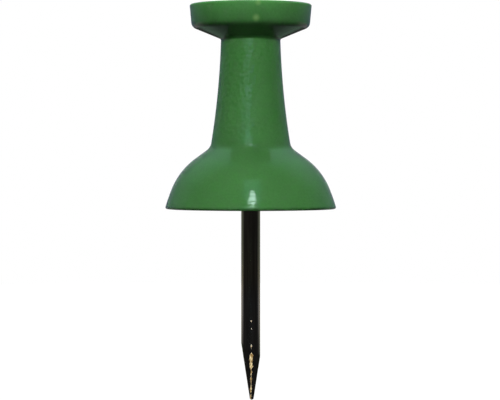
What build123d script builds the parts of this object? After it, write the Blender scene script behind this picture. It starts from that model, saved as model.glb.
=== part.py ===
from build123d import *
import math
import os

# Push pin: a plastic head moulded round the ringed end of a steel needle.
# The needle runs along Z with its point down. The origin is on its axis, in the plane of the seat,
# which is the ring under the skirt that meets the board.
# Lengths are in millimetres and angles in degrees.

# Head, from the seat up
head_height = 12.0
seat_diameter = 10.09         # at the sharp corner, before its edge is rounded
seat_edge_round = 0.1
skirt_wall_angle = 70.8       # between the wall and the seat
skirt_crown_round = 4.07
crown_share = 0.8             # most of the shoulder or the wall that the crown's round may take
shoulder_angle = 36.0         # fall of the shoulder away from the neck
neck_base_height = 3.57       # where the neck's side meets the shoulder
neck_base_diameter = 4.72
neck_base_round = 0.66
neck_top_diameter = 3.48
neck_hollow = 0.11            # depth of the side's inward curve below a straight taper
cap_diameter = 7.17
cap_rim_height = 1.33
cap_rim_draft = 5.2
cap_rim_round = 0.42
cap_underside_angle = 22.2    # fall of the underside towards the neck
cap_top_round = 0.1
cap_neck_round = 0.12

# Moulding marks on the hidden faces
gate_dimple_diameter = 1.6    # where the plastic enters, in the middle of the cap
gate_dimple_depth = 0.2
gate_stub_diameter = 0.7      # the broken gate, left below the cap's face
gate_stub_height = 0.12
relief_diameter = 3.0         # keeps flash at the needle off the board
relief_depth = 0.3

# Needle, from the point up
needle_diameter = 1.12
needle_reach = 11.25          # from the seat to the tip
point_length = 2.95
tip_radius = 0.12
grip_length = 5.6             # buried in the head
grip_ring_count = 6
grip_ring_depth = 0.16
grip_end_length = 0.45        # plain end above the last ring

standing = (Align.CENTER, Align.CENTER, Align.MIN)


def nearest_corner(outline, place):
    """The outline's vertex at a place in its own plane."""
    return outline.vertices().sort_by_distance(Vector(place[0], 0, place[1]))[0]


def rounded(outline, corners):
    """The outline with each listed corner rounded to its radius."""
    for place, radius in corners:
        outline = fillet(nearest_corner(outline, place), radius)
    return outline


def head_blank():
    """The head's solid of revolution, before the needle's cavity is cut."""
    cap_radius = cap_diameter / 2
    rim_foot_z = head_height - cap_rim_height
    rim_foot_radius = cap_radius - cap_rim_height * math.tan(math.radians(cap_rim_draft))
    neck_top_radius = neck_top_diameter / 2
    underside_fall = (rim_foot_radius - neck_top_radius) * math.tan(math.radians(cap_underside_angle))
    neck_top_z = rim_foot_z - underside_fall
    neck_base_radius = neck_base_diameter / 2
    seat_radius = seat_diameter / 2

    # The skirt's crown is the corner where the shoulder's line crosses the wall's.
    shoulder_fall = math.tan(math.radians(shoulder_angle))
    wall_rise = math.tan(math.radians(skirt_wall_angle))
    straight_fall = neck_base_height - (seat_radius - neck_base_radius) * shoulder_fall
    crown_z = straight_fall / (1 - shoulder_fall / wall_rise)
    crown_radius = seat_radius - crown_z / wall_rise

    # The crown's round stops short of the rounds at the far ends of the shoulder and the wall.
    shoulder_length = math.hypot(crown_radius - neck_base_radius, neck_base_height - crown_z)
    wall_length = math.hypot(seat_radius - crown_radius, crown_z)
    crown_half_turn = math.radians(skirt_wall_angle - shoulder_angle) / 2
    widest_crown_round = crown_share * min(shoulder_length, wall_length) / math.tan(crown_half_turn)
    crown_round = min(skirt_crown_round, widest_crown_round)

    cap_edge = (cap_radius, head_height)
    rim_foot = (rim_foot_radius, rim_foot_z)
    neck_top = (neck_top_radius, neck_top_z)
    neck_base = (neck_base_radius, neck_base_height)
    crown = (crown_radius, crown_z)
    seat_edge = (seat_radius, 0)

    cap = Polyline((0, 0), (0, head_height), cap_edge, rim_foot, neck_top)
    neck = SagittaArc(neck_base, neck_top, neck_hollow)
    skirt = Polyline(neck_base, crown, seat_edge, (0, 0))
    outline = make_face(Plane.XZ * (cap + neck + skirt))
    corners = [
        (cap_edge, cap_top_round),
        (rim_foot, cap_rim_round),
        (neck_top, cap_neck_round),
        (neck_base, neck_base_round),
        (crown, crown_round),
        (seat_edge, seat_edge_round),
    ]
    return revolve(rounded(outline, corners), Axis.Z)


def gate_mark():
    """The dimple in the middle of the cap, with the broken gate standing in it."""
    dimple_floor = head_height - gate_dimple_depth
    dimple = Cylinder(gate_dimple_diameter / 2, gate_dimple_depth, align=standing)
    stub = Cylinder(gate_stub_diameter / 2, gate_stub_height, align=standing)
    return Pos(0, 0, dimple_floor) * (dimple - stub)


def needle_relief():
    """The shallow round recess in the seat where the needle leaves the head."""
    return Cylinder(relief_diameter / 2, relief_depth, align=standing)


def steel_needle():
    """The whole needle: rounded tip, ground point, plain shank and ringed grip."""
    radius = needle_diameter / 2
    tip_z = -needle_reach
    point_top_z = tip_z + point_length
    grip_foot_z = relief_depth
    rings_length = grip_length - grip_end_length
    ring_pitch = rings_length / grip_ring_count
    end_z = grip_foot_z + grip_length

    # The point's side is tangent to the round tip.
    tip_centre_z = tip_z + tip_radius
    slant = math.hypot(radius, point_top_z - tip_centre_z)
    turn = math.atan2(radius, point_top_z - tip_centre_z) - math.asin(tip_radius / slant)
    half_turn = (turn + math.pi / 2) / 2
    tip_side = (tip_radius * math.cos(turn), tip_centre_z - tip_radius * math.sin(turn))
    tip_middle = (tip_radius * math.cos(half_turn), tip_centre_z - tip_radius * math.sin(half_turn))

    # Each ring is a cone that widens towards the point, so that a pull on the head locks it.
    rings = []
    for ring in range(grip_ring_count):
        foot_z = grip_foot_z + ring * ring_pitch
        rings.append((radius, foot_z))
        rings.append((radius - grip_ring_depth, foot_z + ring_pitch))

    tip = ThreePointArc((0, tip_z), tip_middle, tip_side)
    plain_end = [(radius, grip_foot_z + rings_length), (radius, end_z), (0, end_z)]
    side = Polyline(tip_side, (radius, point_top_z), *rings, *plain_end, (0, tip_z))
    return revolve(make_face(Plane.XZ * (tip + side)), Axis.Z)


def moulded_head(needle):
    """The head with its moulding marks, and the cavity that the needle fills."""
    return head_blank() - gate_mark() - needle_relief() - needle


needle = steel_needle()
head = moulded_head(needle)

os.makedirs("parts", exist_ok=True)
export_step(head, "parts/moulded_head.step")
export_step(needle, "parts/steel_needle.step")
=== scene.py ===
"""A push pin, with its moulded plastic head and its ground steel needle, in a small studio.

The needle runs along Z with its point down, and the origin lies in the plane of the seat.
The classes hold lengths in millimetres and angles in degrees; meshes, lamps and the camera are
made in metres.
"""

import logging
import math
from abc import ABC, abstractmethod
from dataclasses import dataclass, field
from enum import Enum
from functools import cached_property, partial, reduce
from typing import ClassVar, Sequence

import bpy
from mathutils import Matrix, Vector, noise


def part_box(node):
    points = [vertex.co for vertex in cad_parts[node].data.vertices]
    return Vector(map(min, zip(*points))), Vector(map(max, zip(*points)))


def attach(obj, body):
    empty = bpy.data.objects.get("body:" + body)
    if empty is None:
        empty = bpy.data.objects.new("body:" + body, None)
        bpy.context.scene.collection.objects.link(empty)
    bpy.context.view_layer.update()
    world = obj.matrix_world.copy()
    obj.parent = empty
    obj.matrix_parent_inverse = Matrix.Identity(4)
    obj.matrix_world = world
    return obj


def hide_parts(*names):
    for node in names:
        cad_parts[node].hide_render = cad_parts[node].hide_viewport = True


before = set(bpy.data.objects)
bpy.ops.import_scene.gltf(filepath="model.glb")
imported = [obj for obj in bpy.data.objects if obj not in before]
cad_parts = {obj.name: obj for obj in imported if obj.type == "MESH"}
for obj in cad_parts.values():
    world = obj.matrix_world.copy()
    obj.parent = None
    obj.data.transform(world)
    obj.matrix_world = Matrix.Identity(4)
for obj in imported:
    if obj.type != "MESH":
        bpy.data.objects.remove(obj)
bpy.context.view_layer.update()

log = logging.getLogger("push_pin")

MILLIMETRE = 0.001

# A Mix node has a set of sockets for each kind of data. These are the ones for colours.
MIX_SHARE = 0
MIX_FIRST = 6
MIX_SECOND = 7
MIX_RESULT = 2

Socket = bpy.types.NodeSocket
Colour = tuple[float, float, float]
Level = float | Socket
Tone = Colour | Socket

# Where a change starts and where it ends, or the levels there
Span = tuple[float, float]
# Places, in order, and the level at each
Table = tuple[tuple[float, float], ...]
# A distance from the axis, and a height
Place = tuple[float, float]


class Node(Enum):
    """The solids that the dressed pieces stand for."""

    HEAD = "moulded_head"
    NEEDLE = "steel_needle"


class Slot(Enum):
    """The material slots that the pieces take their finish from."""

    PLASTIC = "green_plastic"
    STEEL = "dark_steel"


class Shows(Enum):
    """What a lamp is there for: to light the pin, or to show in its gloss."""

    LIGHT = "light"
    GLOSS = "gloss"


class LampShape(Enum):
    """The outline of a lamp's bright face."""

    RECTANGLE = "RECTANGLE"
    ELLIPSE = "ELLIPSE"


class Sum(Enum):
    """The sums that a shader can work out."""

    ADD = "ADD"
    SUBTRACT = "SUBTRACT"
    MULTIPLY = "MULTIPLY"
    DIVIDE = "DIVIDE"
    POWER = "POWER"
    SQUARE_ROOT = "SQRT"
    ABSOLUTE = "ABSOLUTE"
    MAXIMUM = "MAXIMUM"
    SINE = "SINE"
    ANGLE = "ARCTAN2"
    WRAP = "WRAP"


class Blend(Enum):
    """How one colour goes on another."""

    MIX = "MIX"
    ADD = "ADD"
    MULTIPLY = "MULTIPLY"


class Ray(Enum):
    """The kinds of ray that a shader can tell apart."""

    CAMERA = "Is Camera Ray"
    DIFFUSE = "Is Diffuse Ray"
    GLOSSY = "Is Glossy Ray"
    TRANSMISSION = "Is Transmission Ray"


def opaque(colour: Colour) -> tuple[float, float, float, float]:
    """The colour with full alpha."""
    return (*colour, 1.0)


def even_turns(columns: int) -> list[float]:
    """The angles in radians that divide a full turn into even parts."""
    return [math.tau * column / columns for column in range(columns)]


def around(turn: float, out: float, height: float) -> Vector:
    """The point at an angle in radians about the Z axis, at a distance from it and a height."""
    return Vector((out * math.cos(turn), out * math.sin(turn), height))


def ring_faces(columns: int, rings: int, closed: bool) -> list[tuple[int, ...]]:
    """Joins a first point and the rings of points that follow it.

    Args:
        columns: how many points there are in a ring.
        rings: how many rings there are.
        closed: whether one more point follows, which closes the last ring.

    Returns:
        The corners of each face, by the numbers of the points.
    """
    starts = [1 + ring * columns for ring in range(rings)]
    faces = []
    for column in range(columns):
        beside = (column + 1) % columns
        faces.append((0, starts[0] + column, starts[0] + beside))
        for inner, outer in zip(starts, starts[1:]):
            faces.append((inner + column, outer + column, outer + beside, inner + beside))
        if closed:
            faces.append((starts[-1] + column, 1 + rings * columns, starts[-1] + beside))
    return faces


def make_mesh(name: str, points: Sequence[Vector], faces: Sequence[tuple[int, ...]]) -> bpy.types.Mesh:
    """Makes a mesh in metres.

    Args:
        name: the mesh's name.
        points: its points in millimetres.
        faces: the corners of each face, by the numbers of the points.

    Returns:
        The new mesh.
    """
    mesh = bpy.data.meshes.new(name)
    mesh.from_pydata([point * MILLIMETRE for point in points], [], faces)
    return mesh


def put_in_scene(name: str, data: bpy.types.ID) -> bpy.types.Object:
    """Puts a mesh, a light or a camera in the scene.

    Args:
        name: the object's name.
        data: what the object shows.

    Returns:
        The new object.
    """
    made = bpy.data.objects.new(name, data)
    bpy.context.scene.collection.objects.link(made)
    return made


@dataclass(frozen=True)
class Grain:
    """Cloudy noise on a piece, plain or eased over a span.

    The scale is the number of features to a millimetre, the detail is the number of finer layers and the
    roughness is their strength. The squeeze packs the features closer along X, Y and Z.
    """

    scale: float = 1.0
    detail: float = 2.0
    roughness: float = 0.5
    squeeze: tuple[float, float, float] = (1.0, 1.0, 1.0)
    span: Span | None = None
    levels: Span = (0.0, 1.0)


class ShaderBoard:
    """Lays out the nodes of one material or of the world."""

    def __init__(self, tree: bpy.types.NodeTree) -> None:
        """Starts on an emptied node tree."""
        self.tree = tree
        tree.nodes.clear()

    def add(self, kind: str, inputs: dict | None = None, **settings: object) -> bpy.types.Node:
        """Adds a node.

        Args:
            kind: the node's type name.
            inputs: its sockets by name or number, each with a value or a socket to link.
            settings: its properties by name.

        Returns:
            The new node.
        """
        node = self.tree.nodes.new(kind)
        for name, value in settings.items():
            setattr(node, name, value)
        for name, value in (inputs or {}).items():
            if isinstance(value, Socket):
                self.tree.links.new(value, node.inputs[name])
            else:
                node.inputs[name].default_value = value
        return node

    def result(self, kind: str, inputs: dict, **settings: object) -> Socket:
        """Adds a node, and gives its first output."""
        return self.add(kind, inputs, **settings).outputs[0]

    def sum(self, kind: Sum, *values: Level) -> Socket:
        """A level worked out from others, which are given in the sum's order."""
        return self.result("ShaderNodeMath", dict(enumerate(values)), operation=kind.value)

    def times(self, first: Level, second: Level) -> Socket:
        """The product of two levels."""
        return self.sum(Sum.MULTIPLY, first, second)

    def largest(self, levels: Sequence[Socket]) -> Socket:
        """The largest of several levels."""
        return reduce(partial(self.sum, Sum.MAXIMUM), levels)

    def ease(self, value: Socket, span: Span, levels: Span = (0.0, 1.0)) -> Socket:
        """Carries a value smoothly from one level to another.

        Args:
            value: what is carried over.
            span: where the change starts, and where it ends.
            levels: the level at the start, and the level at the end.

        Returns:
            The eased level's socket.
        """
        names = ("Value", "From Min", "From Max", "To Min", "To Max")
        inputs = dict(zip(names, (value, *span, *levels)))
        return self.result("ShaderNodeMapRange", inputs, interpolation_type="SMOOTHSTEP")

    def mix(self, share: Level, first: Tone, second: Tone, blend: Blend = Blend.MIX) -> Socket:
        """Mixes two colours.

        Args:
            share: how much of the second colour shows.
            first: a colour or its socket.
            second: a colour or its socket.
            blend: how the second colour goes on the first.

        Returns:
            The mixed colour's socket.
        """
        below, above = (opaque(tone) if isinstance(tone, tuple) else tone for tone in (first, second))
        inputs = {MIX_SHARE: share, MIX_FIRST: below, MIX_SECOND: above}
        node = self.add("ShaderNodeMix", inputs, data_type="RGBA", blend_type=blend.value)
        return node.outputs[MIX_RESULT]

    def table(self, value: Socket, stops: Table, span: float) -> Socket:
        """Reads a level off a table, evenly between its stops.

        Args:
            value: where in the table.
            stops: the places in the table, in order, and the level at each.
            span: the place at the table's end.

        Returns:
            The level's socket.
        """
        ramp = self.add("ShaderNodeValToRGB", {0: self.sum(Sum.DIVIDE, value, span)})
        elements = ramp.color_ramp.elements
        while len(elements) < len(stops):
            elements.new(1.0)
        for element, (place, level) in zip(elements, stops):
            element.position = place / span
            element.color = opaque((level, level, level))
        return self.result("ShaderNodeSeparateColor", {0: ramp.outputs[0]})

    def axes(self, place: Socket) -> Sequence[Socket]:
        """A place or a direction, taken apart into X, Y and Z."""
        return self.add("ShaderNodeSeparateXYZ", {0: place}).outputs

    def rays(self, *kinds: Ray) -> Socket:
        """A level that is 1 for rays of the given kinds, and 0 for all others."""
        path = self.add("ShaderNodeLightPath").outputs
        return self.largest([path[kind.value] for kind in kinds])

    def millimetres(self, squeeze: Sequence[float] = (1.0, 1.0, 1.0)) -> Socket:
        """Reads the place on the piece.

        Args:
            squeeze: how much closer a pattern is packed along each axis.

        Returns:
            The place's socket, in millimetres.
        """
        place = self.add("ShaderNodeTexCoord").outputs["Object"]
        scale = [factor / MILLIMETRE for factor in squeeze]
        return self.result("ShaderNodeMapping", {"Vector": place, "Scale": scale})

    @cached_property
    def place(self) -> Socket:
        """The place on the piece, in millimetres."""
        return self.millimetres()

    @cached_property
    def height(self) -> Socket:
        """The height on the piece, in millimetres."""
        return self.axes(self.place)[2]

    def grain(self, grain: Grain) -> Socket:
        """Lays a noise on the piece.

        Args:
            grain: what the noise is like.

        Returns:
            The noise level's socket.
        """
        inputs = {
            "Vector": self.millimetres(grain.squeeze),
            "Scale": grain.scale,
            "Detail": grain.detail,
            "Roughness": grain.roughness,
        }
        level = self.result("ShaderNodeTexNoise", inputs)
        return level if grain.span is None else self.ease(level, grain.span, grain.levels)

    def bump(self, relief: Socket, depth: float, under: Socket | None = None) -> Socket:
        """Raises a relief on the surface.

        Args:
            relief: its level at each place.
            depth: what a level of 1 stands for, in millimetres.
            under: the normal of a relief that this one is laid on.

        Returns:
            The bumped normal's socket.
        """
        inputs = {"Height": relief, "Distance": depth * MILLIMETRE, "Strength": 1.0}
        if under is not None:
            inputs["Normal"] = under
        return self.result("ShaderNodeBump", inputs)


class Finish(ABC):
    """A finish that a piece can be dressed in."""

    def material(self, name: str) -> bpy.types.Material:
        """Makes the finish's material.

        Args:
            name: the material's name.

        Returns:
            The new material.
        """
        made = bpy.data.materials.new(name)
        made.use_nodes = True
        board = ShaderBoard(made.node_tree)
        board.add("ShaderNodeOutputMaterial", {"Surface": self.surface(board)})
        return made

    @abstractmethod
    def surface(self, board: ShaderBoard) -> Socket:
        """Lays out the finish on a board, and gives its shader's socket."""


@dataclass(frozen=True)
class PaintedRimHighlight:
    """A round pale spot, strongest at its centre: a painted highlight on the cap's rim."""

    centre: tuple[float, float, float]
    reach: float


@dataclass(frozen=True)
class GlossPlastic(Finish):
    """Self-coloured moulded plastic with a gloss skin, a little cloudy and a little rippled.

    The tables by height hold heights on the head, and a level at each.
    """

    height: float = 12.0

    # Colour: broad clouds, fine speckle, painted light and shade by height and painted highlights on the rim
    colour: Colour = (0.053, 0.169, 0.048)
    cloud_colour: Colour = (0.051, 0.162, 0.046)
    clouds: Grain = Grain(0.45, span=(0.35, 0.65))
    speckle: Grain = Grain(9.0, detail=3.0, span=(0.2, 0.8), levels=(0.94, 1.06))
    # Painted shade on the seat, at its edge, on the shoulder, under the cap and on the rim's lower part;
    # painted light on the skirt's wall and the rim's upper part
    painted_light_and_shade_by_height: Table = (
        (0.0, 0.85), (0.01, 0.40), (0.08, 0.45), (0.20, 1.05), (1.6, 1.05),
        (2.6, 1.01), (3.1, 0.94), (3.7, 0.94), (4.3, 1.0), (10.02, 1.0),
        (10.10, 0.44), (10.68, 0.44), (10.86, 0.70), (11.03, 0.83), (11.26, 0.93),
        (11.49, 1.03), (11.71, 1.16), (11.97, 1.26), (12.0, 1.1),
    )
    # Painted highlights: two pale spots on the front of the rim
    rim_highlight_colour: Colour = (0.18, 0.32, 0.11)
    rim_highlight_share: float = 0.5
    painted_rim_highlights: tuple[PaintedRimHighlight, ...] = (
        PaintedRimHighlight((0.31, -3.49, 11.0), 0.31),
        PaintedRimHighlight((0.43, -3.55, 11.86), 0.26),
    )

    # Polish: the skirt and the cap are smoother than the neck, and all of it is a little smeared
    roughness_by_height: Table = (
        (0.0, 0.115), (1.2, 0.115), (1.8, 0.045), (3.3, 0.045), (3.5, 0.2), (9.9, 0.2), (10.3, 0.1),
    )
    smear: Grain = Grain(2.1, span=(0.3, 0.7), levels=(0.8, 1.2))

    # Relief: the mould's ripple, the turned marks of its tool, strongest at the skirt's foot, and pits
    ripple: Grain = Grain(4.2, detail=0.0)
    ripple_depth: float = 0.036
    ripple_by_height: Table = (
        (0.0, 0.12), (1.0, 0.12), (1.6, 0.06), (3.6, 0.06), (4.6, 1.0),
        (9.6, 1.0), (10.0, 0.2), (11.85, 0.2), (11.98, 0.1),
    )
    tool_mark_pitch: float = 0.2
    tool_mark_depth: float = 0.0008
    tool_mark_wander: Grain = Grain(4.2)
    tool_mark_wander_height: float = 0.12
    tool_marks_by_height: Table = ((0.0, 0.0), (0.1, 0.0), (0.3, 1.0), (1.2, 1.0), (2.0, 0.2))
    pits: Grain = Grain(22.0)
    pit_depth: float = 0.0006

    # Gloss, and the light that the plastic lets in below its skin
    gloss_level: float = 0.5
    glow_weight: float = 1.0
    glow_depth: float = 0.6
    glow_radius: Colour = (0.5, 1.0, 0.45)

    def by_height(self, board: ShaderBoard, stops: Table) -> Socket:
        """The level that one of the tables by height gives."""
        return board.table(board.height, stops, self.height)

    def painted_rim_highlight_share(self, board: ShaderBoard) -> Socket:
        """Finds where painted highlights lighten the cap's rim.

        Args:
            board: takes the nodes.

        Returns:
            The socket of the pale colour's share.
        """
        shares = []
        for mark in self.painted_rim_highlights:
            inputs = {0: board.place, 1: mark.centre}
            away = board.add("ShaderNodeVectorMath", inputs, operation="DISTANCE").outputs["Value"]
            shares.append(board.ease(away, (mark.reach, 0.0), (0.0, self.rim_highlight_share)))
        return board.largest(shares)

    def tone(self, board: ShaderBoard) -> Socket:
        """Colours the plastic, with painted light and shade by height and painted highlights on the rim.

        Args:
            board: takes the nodes.

        Returns:
            The colour's socket.
        """
        tone = board.mix(board.grain(self.clouds), self.colour, self.cloud_colour)
        # The table by height paints light and shade into the colour
        shade = board.times(board.grain(self.speckle), self.by_height(board, self.painted_light_and_shade_by_height))
        tone = board.mix(1.0, tone, shade, Blend.MULTIPLY)
        return board.mix(self.painted_rim_highlight_share(board), tone, self.rim_highlight_colour)

    def polish(self, board: ShaderBoard) -> Socket:
        """The roughness of the skin."""
        return board.times(board.grain(self.smear), self.by_height(board, self.roughness_by_height))

    def relief(self, board: ShaderBoard) -> Socket:
        """Lays the ripple, the tool marks and the pits on one another.

        Args:
            board: takes the nodes.

        Returns:
            The bumped normal's socket.
        """
        swell = board.times(board.grain(self.ripple), self.by_height(board, self.ripple_by_height))
        ripple = board.bump(swell, self.ripple_depth)
        wander = board.times(board.grain(self.tool_mark_wander), self.tool_mark_wander_height)
        height = board.sum(Sum.ADD, board.height, wander)
        marks = board.sum(Sum.SINE, board.times(height, math.tau / self.tool_mark_pitch))
        marks = board.times(marks, self.by_height(board, self.tool_marks_by_height))
        marked = board.bump(marks, self.tool_mark_depth, under=ripple)
        return board.bump(board.grain(self.pits), self.pit_depth, under=marked)

    def surface(self, board: ShaderBoard) -> Socket:
        """Lays out the plastic.

        Args:
            board: takes the nodes.

        Returns:
            The shader's socket.
        """
        inputs = {
            "Base Color": self.tone(board),
            "Roughness": self.polish(board),
            "Normal": self.relief(board),
            "Specular IOR Level": self.gloss_level,
            "Subsurface Weight": self.glow_weight,
            "Subsurface Radius": self.glow_radius,
            "Subsurface Scale": self.glow_depth * MILLIMETRE,
        }
        return board.result("ShaderNodeBsdfPrincipled", inputs)


@dataclass(frozen=True)
class DarkSteel(Finish):
    """Drawn wire that mirrors a dark room; the streaks where its point was ground are painted bright as its
    highlight.

    Heights are counted from the seat, so they are negative. The table of widths holds distances from
    the tip, and the share of the full width at each.
    """

    # The drawn skin, warm near the seat and worn grey further down
    colour: Colour = (0.68, 0.55, 0.33)
    tarnish_colour: Colour = (0.36, 0.29, 0.17)
    worn_colour: Colour = (0.60, 0.57, 0.52)
    worn_tarnish_colour: Colour = (0.31, 0.29, 0.26)
    worn_heights: Span = (-3.5, -5.8)
    edge_colour: Colour = (1.0, 0.87, 0.68)
    roughness: float = 0.14
    draw_lines: Grain = Grain(detail=3.0, squeeze=(16.0, 16.0, 0.35))
    draw_depth: float = 0.0012
    tarnish_span: Span = (0.35, 0.7)

    # The ground-away metal, scratched, golden on the point and paler in the flecks above it, nearly matt: a
    # painted highlight
    bare_glint_colour: Colour = (0.95, 0.78, 0.44)
    bare_glint_dark_colour: Colour = (0.34, 0.20, 0.06)
    fleck_glint_colour: Colour = (0.80, 0.75, 0.66)
    fleck_heights: Span = (-8.3, -7.7)
    glints: Grain = Grain(squeeze=(15.0, 15.0, 6.0), span=(0.4, 0.6))
    bare_glint_roughness: float = 0.55
    bare_glint_lustre: float = 0.15
    scratches: Grain = Grain(11.0, detail=3.0, squeeze=(1.0, 1.0, 0.35))
    scratch_depth: float = 0.006

    # The streaks of painted highlight, which run up from the tip on three sides, with ragged edges
    tip_height: float = -11.25
    streak_length: float = 5.0
    streak_half_width: float = 0.12
    streak_edge: float = 0.03
    streak_turns: tuple[float, ...] = (5.0, 127.0, -112.0)
    streak_widths: Table = (
        (0.0, 0.40), (0.5, 0.46), (1.5, 0.42), (2.0, 0.75), (2.3, 1.0), (2.65, 0.9),
        (2.85, 0.2), (2.95, 0.0), (3.05, 0.55), (3.25, 0.5), (3.35, 0.0), (4.15, 0.0),
        (4.225, 0.35), (4.3, 0.0), (4.6, 0.0), (4.675, 0.55), (4.75, 0.0),
    )
    wander: Grain = Grain(2.2, detail=1.0, squeeze=(0.0, 0.0, 1.0))
    wander_middle: float = 0.5
    wander_width: float = 0.10
    ragged: Grain = Grain(
        7.0, detail=4.0, roughness=0.65, squeeze=(1.0, 1.0, 0.45), span=(0.25, 0.75), levels=(0.1, 1.7)
    )

    def streak_width(self, board: ShaderBoard) -> Socket:
        """Works out how wide the streaks are on each side of their middle.

        Args:
            board: takes the nodes.

        Returns:
            The half width's socket, in millimetres.
        """
        along = board.sum(Sum.SUBTRACT, board.height, self.tip_height)
        share = board.table(along, self.streak_widths, self.streak_length)
        return board.times(board.times(share, self.streak_half_width), board.grain(self.ragged))

    def bare_glint_streaks(self, board: ShaderBoard) -> Socket:
        """Finds where the dark skin is ground away, which is where the highlight is painted.

        Args:
            board: takes the nodes.

        Returns:
            The socket of a level that is 1 on the ground-away metal with its painted highlight.
        """
        right, back, _ = board.axes(board.place)
        squares = [board.sum(Sum.POWER, side, 2.0) for side in (right, back)]
        out = board.sum(Sum.SQUARE_ROOT, board.sum(Sum.ADD, *squares))
        turn = board.sum(Sum.ANGLE, right, board.times(back, -1.0))
        width = self.streak_width(board)
        wander = board.sum(Sum.SUBTRACT, board.grain(self.wander), self.wander_middle)
        wander = board.times(wander, self.wander_width)
        streaks = []
        for degrees in self.streak_turns:
            aside = board.sum(Sum.SUBTRACT, turn, math.radians(degrees))
            aside = board.sum(Sum.WRAP, aside, math.pi, -math.pi)
            across = board.sum(Sum.ADD, board.times(aside, out), wander)
            spare = board.sum(Sum.SUBTRACT, width, board.sum(Sum.ABSOLUTE, across))
            streaks.append(board.ease(spare, (0.0, self.streak_edge)))
        return board.largest(streaks)

    def tone(self, board: ShaderBoard, bare: Socket, lines: Socket) -> Socket:
        """Colours the drawn skin, and the ground-away metal painted bright as the point's highlight.

        Args:
            board: takes the nodes.
            bare: a level that is 1 on the ground-away metal, where the highlight is painted.
            lines: the level of the draw lines.

        Returns:
            The colour's socket.
        """
        tarnish = board.ease(lines, self.tarnish_span)
        warm = board.mix(tarnish, self.colour, self.tarnish_colour)
        worn = board.mix(tarnish, self.worn_colour, self.worn_tarnish_colour)
        skin = board.mix(board.ease(board.height, self.worn_heights), warm, worn)
        fleck = board.ease(board.height, self.fleck_heights)
        bright = board.mix(fleck, self.bare_glint_colour, self.fleck_glint_colour)
        return board.mix(bare, skin, board.mix(board.grain(self.glints), self.bare_glint_dark_colour, bright))

    def surface(self, board: ShaderBoard) -> Socket:
        """Lays out the steel.

        Args:
            board: takes the nodes.

        Returns:
            The shader's socket.
        """
        bare = self.bare_glint_streaks(board)
        lines = board.grain(self.draw_lines)
        drawn = board.bump(lines, self.draw_depth)
        scored = board.times(board.grain(self.scratches), bare)
        inputs = {
            "Base Color": self.tone(board, bare, lines),
            # The ground-away metal is nearly matt, so its painted highlight shows under the lamps
            "Metallic": board.ease(bare, (0.0, 1.0), (1.0, self.bare_glint_lustre)),
            "Roughness": board.ease(bare, (0.0, 1.0), (self.roughness, self.bare_glint_roughness)),
            "Specular Tint": opaque(self.edge_colour),
            "Normal": board.bump(scored, self.scratch_depth, under=drawn),
        }
        return board.result("ShaderNodeBsdfPrincipled", inputs)


@dataclass(frozen=True)
class StudioPaper(Finish):
    """Pale paper that shows white with a soft shadow, and is dim towards the front of the room.

    The colours are what the pin mirrors, and they also glow onto it as painted bounce light: the paper in
    front of it, behind it, far behind it and to the sides. Depths count backwards from the pin, and half
    widths to its sides.
    """

    lit_share: float = 0.10
    glow: float = 0.93
    front: Colour = (0.016, 0.016, 0.016)
    # Behind the pin the paper is painted green, a painted reflection of the pin's own green light on it
    back: Colour = (0.165, 0.255, 0.19)
    back_depths: Span = (0.0, 42.0)
    far: Colour = (0.04, 0.045, 0.04)
    far_depths: Span = (58.0, 82.0)
    sides: Colour = (0.30, 0.30, 0.30)
    side_half_widths: Span = (15.0, 22.0)

    def mirrored_and_bounce_glow(self, board: ShaderBoard) -> Socket:
        """Colours the paper as the pin mirrors it, and as its painted bounce light glows onto the pin.

        Args:
            board: takes the nodes.

        Returns:
            The colour's socket.
        """
        right, depth, _ = board.axes(board.place)
        aside = board.ease(board.sum(Sum.ABSOLUTE, right), self.side_half_widths)
        behind = board.mix(board.ease(depth, self.far_depths), self.back, self.far)
        behind = board.mix(aside, behind, self.sides)
        return board.mix(board.ease(depth, self.back_depths), self.front, behind)

    def surface(self, board: ShaderBoard) -> Socket:
        """Lays out the paper.

        Args:
            board: takes the nodes.

        Returns:
            The shader's socket.
        """
        level = board.times(board.rays(Ray.CAMERA), self.glow)
        glow = board.result("ShaderNodeEmission", {"Strength": level})
        lit = board.result("ShaderNodeBsdfDiffuse", {"Color": opaque((self.lit_share,) * 3)})
        seen = board.result("ShaderNodeAddShader", {0: lit, 1: glow})
        shown = board.result("ShaderNodeEmission", {"Color": self.mirrored_and_bounce_glow(board), "Strength": 1.0})
        # Mirrored, refracted and diffuse rays see the painted colours, so the paper glows onto the pin like a
        # lamp
        share = board.rays(Ray.GLOSSY, Ray.TRANSMISSION, Ray.DIFFUSE)
        return board.result("ShaderNodeMixShader", {0: share, 1: seen, 2: shown})


@dataclass(frozen=True)
class Corner:
    """A corner of a turned outline, at a distance from the axis and a height, softened by a round."""

    out: float
    height: float
    round: float = 0.0


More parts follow.
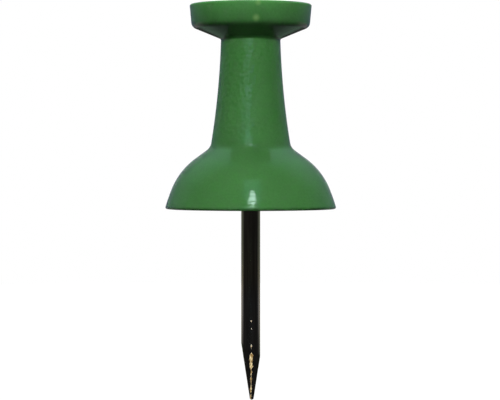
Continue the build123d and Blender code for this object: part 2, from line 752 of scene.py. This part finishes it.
@dataclass(frozen=True)
class TurnedOutline:
    """Half the section of a turned piece, from the axis at one end to the axis at the other."""

    corners: Sequence[Corner]
    arc_step: float = 3.0
    run_step: float = 0.25

    def places(self) -> list[Place]:
        """Sets out the outline, with arcs at the rounded corners and long runs divided.

        Returns:
            The outline's points, in order.
        """
        first, last = self.corners[0], self.corners[-1]
        bends = [self.bend(*three) for three in zip(self.corners, self.corners[1:], self.corners[2:])]
        places = [(first.out, first.height)]
        for bend in [*bends, [(last.out, last.height)]]:
            places += self.run(places[-1], bend[0]) + bend
        return places

    def bend(self, before: Corner, corner: Corner, after: Corner) -> list[Place]:
        """Goes round one corner.

        Args:
            before: the corner that the outline comes from.
            corner: the corner that is rounded.
            after: the corner that the outline goes to.

        Returns:
            The arc's points, or the corner itself where it has no round.
        """
        middle = Vector((corner.out, corner.height))
        if not corner.round:
            return [tuple(middle)]
        back = (Vector((before.out, before.height)) - middle).normalized()
        on = (Vector((after.out, after.height)) - middle).normalized()
        turn = math.pi - back.angle(on)
        centre = middle + (back + on).normalized() * corner.round / math.cos(turn / 2)
        reach = corner.round * math.tan(turn / 2)
        start = (middle + back * reach - centre).normalized()
        end = (middle + on * reach - centre).normalized()
        steps = max(2, math.ceil(math.degrees(turn) / self.arc_step))
        return [tuple(centre + start.slerp(end, step / steps) * corner.round) for step in range(steps + 1)]

    def run(self, start: Place, end: Place) -> list[Place]:
        """The points that divide a straight run, without its ends."""
        steps = max(1, math.ceil(math.dist(start, end) / self.run_step))
        return [tuple(Vector(start).lerp(Vector(end), step / steps)) for step in range(1, steps)]


@dataclass
class TurnedPiece(ABC):
    """A piece of the pin that is turned about the Z axis."""

    node: ClassVar[Node]
    slot: ClassVar[Slot]

    finish: Finish
    columns: int = 180
    crease: float = 38.0

    @abstractmethod
    def outline(self) -> list[Place]:
        """Half the piece's section, from its top on the axis to its foot on the axis."""

    def surface(self, turn: float, out: float, height: float) -> Vector:
        """The point of the turned surface at an angle in radians, for a place on the outline."""
        return around(turn, out, height)

    def turns(self) -> list[float]:
        """The angles in radians at which the outline is set out."""
        return even_turns(self.columns)

    def build(self) -> bpy.types.Object:
        """Turns the outline into a closed mesh, and dresses it.

        Returns:
            The new piece, in the place of its node.
        """
        top, *places, foot = self.outline()
        turns = self.turns()
        points = [self.surface(0.0, *top)]
        for out, height in places:
            points += [self.surface(turn, out, height) for turn in turns]
        points.append(self.surface(0.0, *foot))
        mesh = make_mesh(self.node.value, points, ring_faces(len(turns), len(places), closed=True))
        mesh.validate()
        mesh.shade_smooth()
        mesh.set_sharp_from_angle(angle=math.radians(self.crease))
        piece = put_in_scene(f"{self.node.value}_dressed", mesh)
        self.dress(piece)
        return piece

    def dress(self, piece: bpy.types.Object) -> None:
        """Gives the piece its finish, and sets it on its body in the place of its node.

        Args:
            piece: the bare piece.
        """
        piece.data.materials.append(self.finish.material(self.slot.value))
        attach(piece, "root")
        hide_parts(self.node.value)


@dataclass
class SteelNeedle(TurnedPiece):
    """The drawn wire, with its ground point below and its ringed grip in the head."""

    node: ClassVar[Node] = Node.NEEDLE
    slot: ClassVar[Slot] = Slot.STEEL

    columns: int = 120
    run_step: float = 0.06

    diameter: float = 1.12
    reach: float = 11.25
    point_length: float = 2.95
    tip_radius: float = 0.12

    # The point is ground a little off centre, and not quite smooth.
    point_runout: float = 0.06
    grind_depth: float = 0.006
    grind_scale: float = 5.0
    grind_squeeze: float = 0.3
    grind_middle: float = 0.5

    # The grip is buried in the head.
    shank_foot: float = 0.3
    grip_length: float = 5.6
    grip_end_length: float = 0.45
    ring_count: int = 6
    ring_depth: float = 0.16

    @property
    def radius(self) -> float:
        """Half the wire's thickness."""
        return self.diameter / 2

    @property
    def point_top(self) -> float:
        """The height at which the ground point meets the wire."""
        return self.point_length - self.reach

    @property
    def point_slope(self) -> float:
        """Works out how fast the point widens with height, tangent to the round tip.

        Returns:
            The growth of its radius for each millimetre of height.
        """
        rise = self.point_top - (self.tip_radius - self.reach)
        slant = math.hypot(self.radius, rise)
        return math.tan(math.atan2(self.radius, rise) - math.asin(self.tip_radius / slant))

    def grip(self) -> list[Corner]:
        """Sets out the buried rings.

        Returns:
            Their corners, from the plain end on top down to the shank.
        """
        pitch = (self.grip_length - self.grip_end_length) / self.ring_count
        corners = [Corner(self.radius, self.shank_foot + self.grip_length)]
        for ring in reversed(range(self.ring_count)):
            foot = self.shank_foot + ring * pitch
            corners.append(Corner(self.radius, foot + pitch))
            corners.append(Corner(self.radius - self.ring_depth, foot + pitch))
            corners.append(Corner(self.radius, foot))
        return corners

    def outline(self) -> list[Place]:
        """Sets out half the needle's section.

        Returns:
            Its points, from the buried end down to the tip.
        """
        top = Corner(0.0, self.shank_foot + self.grip_length)
        tip = Corner(0.0, -self.reach)
        shoulder = Corner(self.radius, self.point_top)
        side_turn = math.atan(self.point_slope)
        corner_out = self.tip_radius * (math.cos(side_turn) - math.tan(side_turn) * (1 - math.sin(side_turn)))
        tip_corner = Corner(corner_out, -self.reach, self.tip_radius)
        return TurnedOutline([top, *self.grip(), shoulder, tip_corner, tip], run_step=self.run_step).places()

    def surface(self, turn: float, out: float, height: float) -> Vector:
        """Places a point on the needle, whose point is a cone that stands beside the wire's axis.

        Args:
            turn: the angle about the axis, in radians.
            out: the outline's distance from the axis.
            height: the outline's height.

        Returns:
            The point in millimetres.
        """
        if height >= self.point_top + self.point_runout / self.point_slope:
            return super().surface(turn, out, height)
        wide = out
        if height >= self.point_top:
            wide = self.radius + (height - self.point_top) * self.point_slope
        spot = around(turn, wide, height * self.grind_squeeze)
        share = min(1.0, wide / self.radius)
        wide += self.grind_depth * share * (noise.noise(spot * self.grind_scale) - self.grind_middle)
        ground = Vector((wide * math.cos(turn) + self.point_runout, wide * math.sin(turn)))
        if ground.length > self.radius:
            ground = ground.normalized() * self.radius
        return Vector((*ground, height))


@dataclass
class MouldedHead(TurnedPiece):
    """The plastic head: pressed cap, gripped neck and bell skirt, moulded round the needle."""

    node: ClassVar[Node] = Node.HEAD
    slot: ClassVar[Slot] = Slot.PLASTIC

    needle: SteelNeedle = field(kw_only=True)
    height: float = 12.0

    # The skirt, whose wall stands a little steeper below its bend
    seat_diameter: float = 10.09
    seat_edge_round: float = 0.1
    wall_foot_angle: float = 74.0
    wall_bend_height: float = 0.5
    wall_bend_round: float = 8.4
    wall_angle: float = 68.9
    crown_round: float = 4.07
    shoulder_angle: float = 36.0

    # The neck, whose side is hollow
    neck_base_height: float = 3.61
    neck_base_diameter: float = 4.72
    neck_base_round: float = 0.66
    neck_top_diameter: float = 3.48
    neck_hollow: float = 0.11
    neck_steps: int = 14

    # The cap, whose rim is drafted and whose underside falls towards the neck
    cap_diameter: float = 7.17
    cap_top_round: float = 0.1
    rim_height: float = 1.33
    rim_draft: float = 5.2
    rim_round: float = 0.42
    underside_angle: float = 22.2
    cap_neck_round: float = 0.12

    # The gate's dimple with its broken stub, and the recess round the needle
    dimple_diameter: float = 1.6
    dimple_depth: float = 0.2
    stub_diameter: float = 0.7
    stub_height: float = 0.12
    stub_break: float = 0.05
    stub_grain: float = 0.4
    relief_diameter: float = 3.0
    relief_depth: float = 0.3
    fine_round: float = 0.03

    # The parting lines, left and right, where the mould's halves met
    parting_height: float = 0.005
    parting_turn: float = 1.0
    parting_columns: int = 4
    parting_clear_turn: float = 1.2
    parting_margin: float = 0.1

    def turns(self) -> list[float]:
        """Chooses the angles at which the outline is set out, closer together at the parting lines.

        Returns:
            The angles in radians, in order.
        """
        steps = range(-self.parting_columns, self.parting_columns + 1)
        close = [math.radians(self.parting_turn * step / self.parting_columns) for step in steps]
        lines = [(side + turn) % math.tau for side in (0.0, math.pi) for turn in close]
        clear = math.radians(self.parting_clear_turn)
        return sorted(lines + [turn for turn in super().turns() if self.from_parting(turn) > clear])

    @staticmethod
    def from_parting(turn: float) -> float:
        """The angle between a turn and the nearer parting line, in radians."""
        return abs((turn + math.pi / 2) % math.pi - math.pi / 2)

    @property
    def dimple_floor(self) -> float:
        """The height of the gate dimple's floor."""
        return self.height - self.dimple_depth

    def gate_mark(self) -> list[Corner]:
        """Sets out the dimple in the middle of the cap.

        Returns:
            Its corners, from the broken gate in it out to its edge.
        """
        stub_out, dimple_out = self.stub_diameter / 2, self.dimple_diameter / 2
        stub_top = self.dimple_floor + self.stub_height
        return [
            Corner(0.0, stub_top),
            Corner(stub_out, stub_top, self.fine_round),
            Corner(stub_out, self.dimple_floor, self.fine_round),
            Corner(dimple_out, self.dimple_floor, self.fine_round),
            Corner(dimple_out, self.height, self.fine_round),
        ]

    def cap(self) -> list[Corner]:
        """Sets out the cap.

        Returns:
            Its corners, from its top edge in to the top of the neck.
        """
        radius = self.cap_diameter / 2
        foot = self.height - self.rim_height
        foot_out = radius - self.rim_height * math.tan(math.radians(self.rim_draft))
        neck_out = self.neck_top_diameter / 2
        fall = (foot_out - neck_out) * math.tan(math.radians(self.underside_angle))
        return [
            Corner(radius, self.height, self.cap_top_round),
            Corner(foot_out, foot, self.rim_round),
            Corner(neck_out, foot - fall, self.cap_neck_round),
        ]

    def neck(self, top: Corner, base: Corner) -> list[Corner]:
        """Sets out the neck's hollow side, which is an arc.

        Args:
            top: the corner where the neck meets the cap.
            base: the corner where it meets the skirt.

        Returns:
            The points between the two corners, from the top down.
        """
        start, end = Vector((top.out, top.height)), Vector((base.out, base.height))
        inwards = Vector((-(start - end).y, (start - end).x)).normalized()
        half = (end - start).length / 2
        bow = (half**2 + self.neck_hollow**2) / (2 * self.neck_hollow)
        corners = []
        for step in range(1, self.neck_steps):
            share = step / self.neck_steps
            from_middle = (2 * share - 1) * half
            depth = math.sqrt(bow**2 - from_middle**2) - (bow - self.neck_hollow)
            corners.append(Corner(*(start.lerp(end, share) + inwards * depth)))
        return corners

    def skirt(self) -> list[Corner]:
        """Sets out the bell skirt.

        Returns:
            Its corners, from the base of the neck down to the seat and in to the needle's recess.
        """
        base_out, seat_out = self.neck_base_diameter / 2, self.seat_diameter / 2
        relief_out = self.relief_diameter / 2
        fall = math.tan(math.radians(self.shoulder_angle))
        rise = math.tan(math.radians(self.wall_angle))
        bend = self.wall_bend_height
        bend_out = seat_out - bend / math.tan(math.radians(self.wall_foot_angle))
        above_bend = (self.neck_base_height - bend - (bend_out - base_out) * fall) / (1 - fall / rise)
        return [
            Corner(base_out, self.neck_base_height, self.neck_base_round),
            Corner(bend_out - above_bend / rise, bend + above_bend, self.crown_round),
            Corner(bend_out, bend, self.wall_bend_round),
            Corner(seat_out, 0.0, self.seat_edge_round),
            Corner(relief_out, 0.0, self.fine_round),
            Corner(relief_out, self.relief_depth, self.fine_round),
        ]

    def outline(self) -> list[Place]:
        """Sets out half the head's section.

        Returns:
            Its points, from the gate mark round to the end of the needle's cavity.
        """
        cap, skirt = self.cap(), self.skirt()
        cavity = list(reversed(self.needle.grip()))
        end = Corner(0.0, cavity[-1].height)
        neck = self.neck(cap[-1], skirt[0])
        return TurnedOutline([*self.gate_mark(), *cap, *neck, *skirt, *cavity, end]).places()

    def surface(self, turn: float, out: float, height: float) -> Vector:
        """Places a point on the head, raised along the parting lines and rough on the broken gate.

        Args:
            turn: the angle about the axis, in radians.
            out: the outline's distance from the axis.
            height: the outline's height.

        Returns:
            The point in millimetres.
        """
        above_floor = height - self.dimple_floor
        if out < self.stub_diameter / 2 and above_floor > 0.0:
            spot = around(turn, out, 0.0) / self.stub_break
            broken = (1 + noise.noise(spot * self.stub_grain)) / 2
            height -= self.stub_break * broken * above_floor / self.stub_height
        innermost = self.neck_top_diameter / 2 - self.neck_hollow - self.parting_margin
        if out > innermost and 0.0 < height < self.height:
            away = self.from_parting(turn) / math.radians(self.parting_turn)
            out += self.parting_height * max(0.0, 1 - away**2) ** 2
        return super().surface(turn, out, height)


@dataclass(frozen=True)
class Lamp:
    """A soft lamp that faces the pin.

    The radiance is the lamp's own brightness, where 1 shows as white. The bearing is the angle to the
    right of the camera, seen from the pin, and the size is the lamp's width and height.
    """

    name: str
    radiance: float
    bearing: float
    elevation: float
    size: tuple[float, float]
    distance: float = 350.0
    shows: Shows = Shows.LIGHT
    colour: Colour = (1.0, 1.0, 1.0)
    shape: LampShape = LampShape.RECTANGLE

    def build(self, target: Vector) -> bpy.types.Object:
        """Hangs the lamp.

        Args:
            target: the place that it faces, in metres.

        Returns:
            The new lamp.
        """
        bearing, elevation = math.radians(self.bearing), math.radians(self.elevation)
        level = math.cos(elevation)
        away = Vector((level * math.sin(bearing), -level * math.cos(bearing), math.sin(elevation)))
        light = bpy.data.lights.new(self.name, "AREA")
        light.shape = self.shape.value
        light.size, light.size_y = (side * MILLIMETRE for side in self.size)
        light.color = self.colour
        area = light.size * light.size_y
        if self.shape is LampShape.ELLIPSE:
            area *= math.pi / 4
        light.energy = self.radiance * math.pi * area
        lamp = put_in_scene(self.name, light)
        lamp.location = target + away * self.distance * MILLIMETRE
        lamp.rotation_euler = away.to_track_quat("Z", "Y").to_euler()
        lamp.visible_glossy = self.shows is Shows.GLOSS
        lamp.visible_diffuse = self.shows is Shows.LIGHT
        return lamp


@dataclass(frozen=True)
class Zone:
    """A part of the room, with the depths and the rises of the directions over which it comes in."""

    colour: Colour
    depths: Span
    rises: Span | None = None
    blend: Blend = Blend.MIX


@dataclass(frozen=True)
class StudioAir:
    """The room round the pin: white to the camera, and with a dim front in the pin's gloss.

    A direction's depth is 1 straight back and -1 straight to the front, and its rise is 1 straight up.
    """

    seen: Colour = (1.0, 1.0, 1.0)
    ambient: Colour = (0.06, 0.06, 0.06)
    low_ambient: Colour = (0.02, 0.02, 0.02)
    ambient_rises: Span = (-0.2, 0.5)
    front: Colour = (0.014, 0.016, 0.023)
    side: Zone = Zone((0.14, 0.19, 0.24), (-0.1, 0.65))
    sky: Zone = Zone((0.16, 0.36, 0.29), (-0.05, 0.25), (0.25, 0.88), Blend.ADD)
    backdrop: Zone = Zone((0.12, 0.12, 0.12), (0.78, 0.94), (0.05, 0.14), Blend.ADD)
    back: Zone = Zone((1.0, 1.0, 1.0), (0.985, 1.0))
    low_back: Zone = Zone((0.04, 0.045, 0.04), (0.95, 0.975), (-0.02, -0.05))

    def build(self) -> bpy.types.World:
        """Makes the world, and puts it in the scene.

        Returns:
            The new world.
        """
        world = bpy.data.worlds.new("studio_air")
        world.use_nodes = True
        board = ShaderBoard(world.node_tree)
        direction = board.add("ShaderNodeTexCoord").outputs["Generated"]
        _, depth, rise = board.axes(direction)
        room = self.front
        for zone in (self.side, self.sky, self.backdrop, self.back, self.low_back):
            share = board.ease(depth, zone.depths)
            if zone.rises is not None:
                share = board.times(board.ease(rise, zone.rises), share)
            room = board.mix(share, room, zone.colour, zone.blend)
        ambient = board.mix(board.ease(rise, self.ambient_rises), self.low_ambient, self.ambient)
        air = board.mix(board.rays(Ray.GLOSSY, Ray.TRANSMISSION), ambient, room)
        air = board.mix(board.rays(Ray.CAMERA), air, self.seen)
        background = board.result("ShaderNodeBackground", {"Color": air, "Strength": 1.0})
        board.add("ShaderNodeOutputWorld", {"Surface": background})
        bpy.context.scene.world = world
        return world


LIGHT_LAMPS = (
    Lamp("front_softbox", 53.2, bearing=0.0, elevation=22.0, size=(160.0, 50.0)),
    Lamp("top_softbox", 0.7, bearing=0.0, elevation=88.0, size=(240.0, 240.0), distance=300.0),
    Lamp("left_fill", 5.3, bearing=-40.0, elevation=22.0, size=(120.0, 80.0)),
    Lamp("right_fill", 5.3, bearing=40.0, elevation=22.0, size=(120.0, 80.0)),
    Lamp("left_edge", 14.5, bearing=-135.0, elevation=29.0, size=(120.0, 80.0)),
    Lamp("right_edge", 14.5, bearing=135.0, elevation=29.0, size=(120.0, 80.0)),
    Lamp("back_softbox", 6.0, bearing=180.0, elevation=25.0, size=(200.0, 165.0)),
)

BULB = {"shows": Shows.GLOSS, "colour": (0.74, 1.0, 0.92), "shape": LampShape.ELLIPSE}
SHADE = {"shows": Shows.GLOSS, "colour": (0.28, 0.98, 0.85)}
WINDOW = {"shows": Shows.GLOSS, "colour": (0.5, 1.0, 1.0)}

GLOSS_LAMPS = (
    Lamp("front_lamp", 12.0, bearing=2.6, elevation=37.7, size=(46.0, 52.0), **BULB),
    Lamp("lamp_bowl", 6.0, bearing=2.6, elevation=36.0, size=(62.0, 26.0), distance=351.0, **BULB),
    Lamp("lamp_shade", 0.75, bearing=2.6, elevation=46.0, size=(130.0, 170.0), distance=352.0, **SHADE),
    Lamp("window_panel", 0.6, bearing=-12.0, elevation=18.0, size=(260.0, 110.0), distance=402.0, **WINDOW),
    Lamp("window_strip", 1.3, bearing=-6.0, elevation=18.0, size=(90.0, 110.0), distance=400.0, **WINDOW),
)


@dataclass
class Studio:
    """The floor, the lamps, the room and the camera."""

    floor_height: float
    floor_radius: float = 110.0
    floor_rings: int = 12
    floor_columns: int = 96
    paper: StudioPaper = StudioPaper()

    air: StudioAir = StudioAir()
    lamps: tuple[Lamp, ...] = LIGHT_LAMPS + GLOSS_LAMPS
    target_height: float = 3.0

    eye_distance: float = 119.0
    eye_height: float = 3.07
    eye_aside: float = -0.04
    aim_height: float = 0.52
    lens: float = 145.7
    sensor: float = 36.0

    def build_floor(self) -> bpy.types.Object:
        """Lays the round floor sheet at the height of the needle's tip.

        Returns:
            The new floor.
        """
        points = [Vector((0.0, 0.0, self.floor_height))]
        for ring in range(1, self.floor_rings + 1):
            out = self.floor_radius * ring / self.floor_rings
            points += [around(turn, out, self.floor_height) for turn in even_turns(self.floor_columns)]
        faces = ring_faces(self.floor_columns, self.floor_rings, closed=False)
        mesh = make_mesh("studio_floor", points, faces)
        mesh.materials.append(self.paper.material("studio_paper"))
        floor = put_in_scene("studio_floor", mesh)
        return floor

    def build_lamps(self) -> list[bpy.types.Object]:
        """Hangs the lamps round the pin."""
        target = Vector((0.0, 0.0, self.target_height)) * MILLIMETRE
        return [lamp.build(target) for lamp in self.lamps]

    def build_camera(self) -> bpy.types.Object:
        """Sets up the camera in front of the pin, a little above its seat.

        Returns:
            The new camera.
        """
        optics = bpy.data.cameras.new("portrait_camera")
        optics.lens = self.lens
        optics.sensor_fit = "HORIZONTAL"
        optics.sensor_width = self.sensor
        optics.clip_start = MILLIMETRE
        camera = put_in_scene("portrait_camera", optics)
        eye = Vector((self.eye_aside, -self.eye_distance, self.eye_height))
        aim = Vector((self.eye_aside, 0.0, self.aim_height))
        camera.location = eye * MILLIMETRE
        camera.rotation_euler = (aim - eye).to_track_quat("-Z", "Y").to_euler()
        bpy.context.scene.camera = camera
        return camera

    def build(self) -> None:
        """Sets up the whole studio."""
        self.build_floor()
        self.build_lamps()
        self.air.build()
        self.build_camera()
        bpy.context.scene.view_settings.view_transform = "Standard"


def main() -> None:
    """Builds the needle, the head and the studio in order."""
    logging.basicConfig(level=logging.INFO, format="%(name)s: %(message)s")
    needle = SteelNeedle(DarkSteel())
    head = MouldedHead(GlossPlastic(), needle=needle)
    for piece in (needle, head):
        built = piece.build()
        log.info("%s: %d points, %d faces", built.name, len(built.data.vertices), len(built.data.polygons))
    studio = Studio(floor_height=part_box(Node.NEEDLE.value)[0].z / MILLIMETRE)
    studio.build()
    log.info("studio: %d lamps, floor at %.2f mm", len(studio.lamps), studio.floor_height)


if __name__ == "__main__":
    main()
